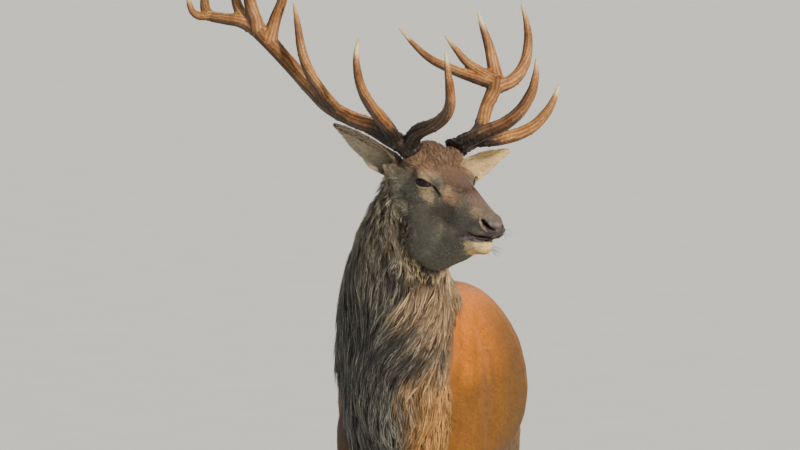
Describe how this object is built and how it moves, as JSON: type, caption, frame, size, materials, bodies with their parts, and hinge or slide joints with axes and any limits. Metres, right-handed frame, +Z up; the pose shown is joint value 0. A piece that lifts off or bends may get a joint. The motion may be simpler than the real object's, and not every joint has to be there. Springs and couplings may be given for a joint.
{
  "type": "red deer stag",
  "caption": "Life-size still model of a standing red deer stag in autumn coat, with a shaggy neck mane, spreading antlers and its head turned to its left.",
  "frame": {"origin": "on the ground, at the middle of the bounding box seen from above", "axes": "+X the way the body faces, +Y the stag's left, +Z up"},
  "size_m": [1.7992, 0.9104, 2.0809],
  "materials": {
    "body_coat": "short, close, warm rufous hair, lying back along the body",
    "mane": "long coarse grey-brown hair hanging in locks with pale ends",
    "face_coat": "very short grey-brown and reddish hair, a bare damp nose and cream hair on the chin and inside the ears",
    "leg_coat": "short grey-brown hair lying down the leg",
    "antler": "hard dark brown antler, pearled and grooved low down, worn to pale ivory at the tips",
    "hoof": "dark grey-black horn, faintly ringed",
    "eye": "glossy dark brown eyeball"
  },
  "bodies": {
    "root": {"antler_left_beam": "antler", "antler_left_bez_tine": "antler", "antler_left_brow_snag": "antler", "antler_left_brow_tine": "antler", "antler_left_crown_tine_1": "antler", "antler_left_crown_tine_2": "antler", "antler_left_crown_tine_3": "antler", "antler_left_trez_tine": "antler", "antler_right_beam": "antler", "antler_right_bez_tine": "antler", "antler_right_brow_tine": "antler", "antler_right_crown_spur": "antler", "antler_right_crown_tine_1": "antler", "antler_right_crown_tine_2": "antler", "antler_right_crown_tine_3": "antler", "antler_right_crown_tine_4": "antler", "antler_right_trez_tine": "antler", "dewclaw_front_left_inner": "hoof", "dewclaw_front_left_outer": "hoof", "dewclaw_front_right_inner": "hoof", "dewclaw_front_right_outer": "hoof", "dewclaw_hind_left_inner": "hoof", "dewclaw_hind_left_outer": "hoof", "dewclaw_hind_right_inner": "hoof", "dewclaw_hind_right_outer": "hoof", "ear_left": "face_coat", "ear_right": "face_coat", "eye_left": "eye", "eye_right": "eye", "head": "face_coat", "hoof_front_left_inner": "hoof", "hoof_front_left_outer": "hoof", "hoof_front_right_inner": "hoof", "hoof_front_right_outer": "hoof", "hoof_hind_left_inner": "hoof", "hoof_hind_left_outer": "hoof", "hoof_hind_right_inner": "hoof", "hoof_hind_right_outer": "hoof", "leg_front_left": "leg_coat", "leg_front_right": "leg_coat", "leg_hind_left": "leg_coat", "leg_hind_right": "leg_coat", "neck": "mane", "tail": "body_coat", "trunk": "body_coat"}
  },
  "joints": []
}
